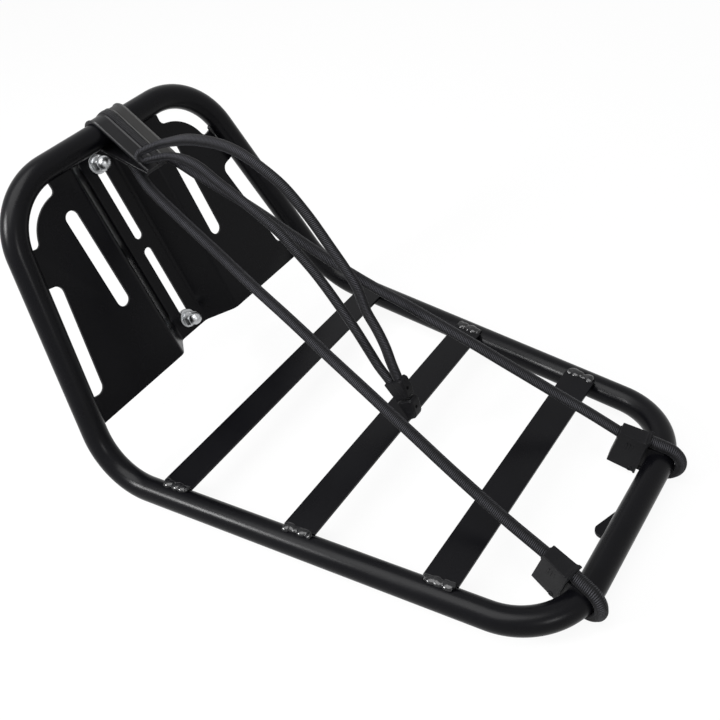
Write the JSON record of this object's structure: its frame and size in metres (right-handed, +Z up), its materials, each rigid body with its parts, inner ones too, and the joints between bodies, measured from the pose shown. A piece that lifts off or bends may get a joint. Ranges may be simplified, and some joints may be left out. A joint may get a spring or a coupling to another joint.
{
  "type": "motorcycle luggage rack",
  "caption": "Black tubular motorcycle luggage rack with crosswise slats, a raised pressed back plate with bolt slots, and an elastic strap whose cords are clipped to the end rail.",
  "frame": {"origin": "centre of the front slat's top face, on the rack's middle line", "axes": "+X to the rack's right, +Y along the deck from the end rail towards the raised back, +Z up out of the deck"},
  "size_m": [0.3434, 0.538, 0.2686],
  "materials": {
    "powder_coat": "satin",
    "zinc": "bright",
    "band_rubber": "satin",
    "woven_tape": "woven",
    "cord_braid": "braided",
    "clip_plastic": "satin"
  },
  "bodies": {
    "root": {"frame_tube": "powder_coat", "back_plate": "powder_coat", "slat_1": "powder_coat", "slat_2": "powder_coat", "slat_3": "powder_coat", "slat_welds": "powder_coat", "plate_welds": "powder_coat", "end_tab": "powder_coat", "upper_bolt": "zinc", "lower_bolt": "zinc", "rear_washers": "zinc", "front_washers": "zinc", "spring_washers": "zinc", "dome_nuts": "zinc", "strap_band_left": "band_rubber", "strap_band_woven": "woven_tape", "strap_band_right": "band_rubber", "near_cord": "cord_braid", "far_cord": "cord_braid", "near_clip": "clip_plastic", "far_clip": "clip_plastic", "near_loop": "cord_braid", "far_loop": "cord_braid", "centre_cord_upper": "cord_braid", "centre_cord_lower": "cord_braid", "centre_cord_turn": "cord_braid", "centre_clip": "clip_plastic", "centre_hook": "clip_plastic"}
  },
  "joints": []
}
